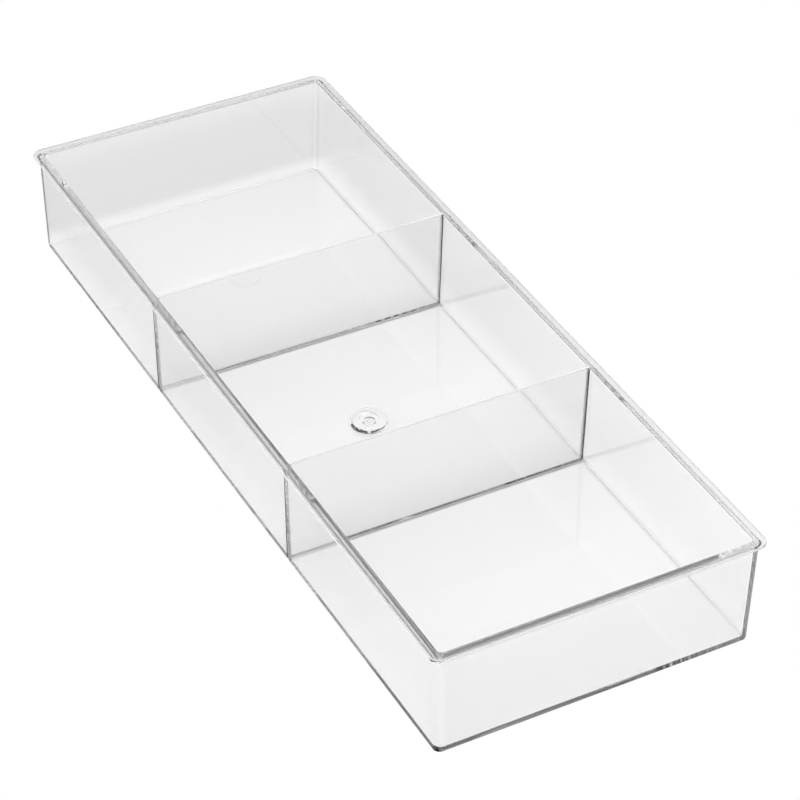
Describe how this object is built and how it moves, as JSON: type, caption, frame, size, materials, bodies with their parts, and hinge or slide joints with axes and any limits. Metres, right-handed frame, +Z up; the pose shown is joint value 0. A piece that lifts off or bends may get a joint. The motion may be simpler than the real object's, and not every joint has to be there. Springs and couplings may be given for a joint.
{
  "type": "drawer organizer insert",
  "caption": "Long shallow clear plastic tray with rounded corners, a flat overhanging rim and fixed dividers that make equal open compartments for small items in a drawer.",
  "frame": {"origin": "middle of the underside, at the level that the tray stands on", "axes": "+X along the tray's length, +Y across its width, +Z up out of the open compartments"},
  "size_m": [0.394, 0.152, 0.051],
  "materials": {
    "clear_plastic": "clear, polished"
  },
  "bodies": {
    "root": {"rim_flange": "clear_plastic", "end_wall_left": "clear_plastic", "end_wall_right": "clear_plastic", "front_wall_left": "clear_plastic", "front_wall_middle": "clear_plastic", "front_wall_right": "clear_plastic", "back_wall_left": "clear_plastic", "back_wall_middle": "clear_plastic", "back_wall_right": "clear_plastic", "floor_left": "clear_plastic", "floor_middle": "clear_plastic", "floor_right": "clear_plastic", "divider_left": "clear_plastic", "divider_right": "clear_plastic", "gate_boss": "clear_plastic"}
  },
  "joints": []
}
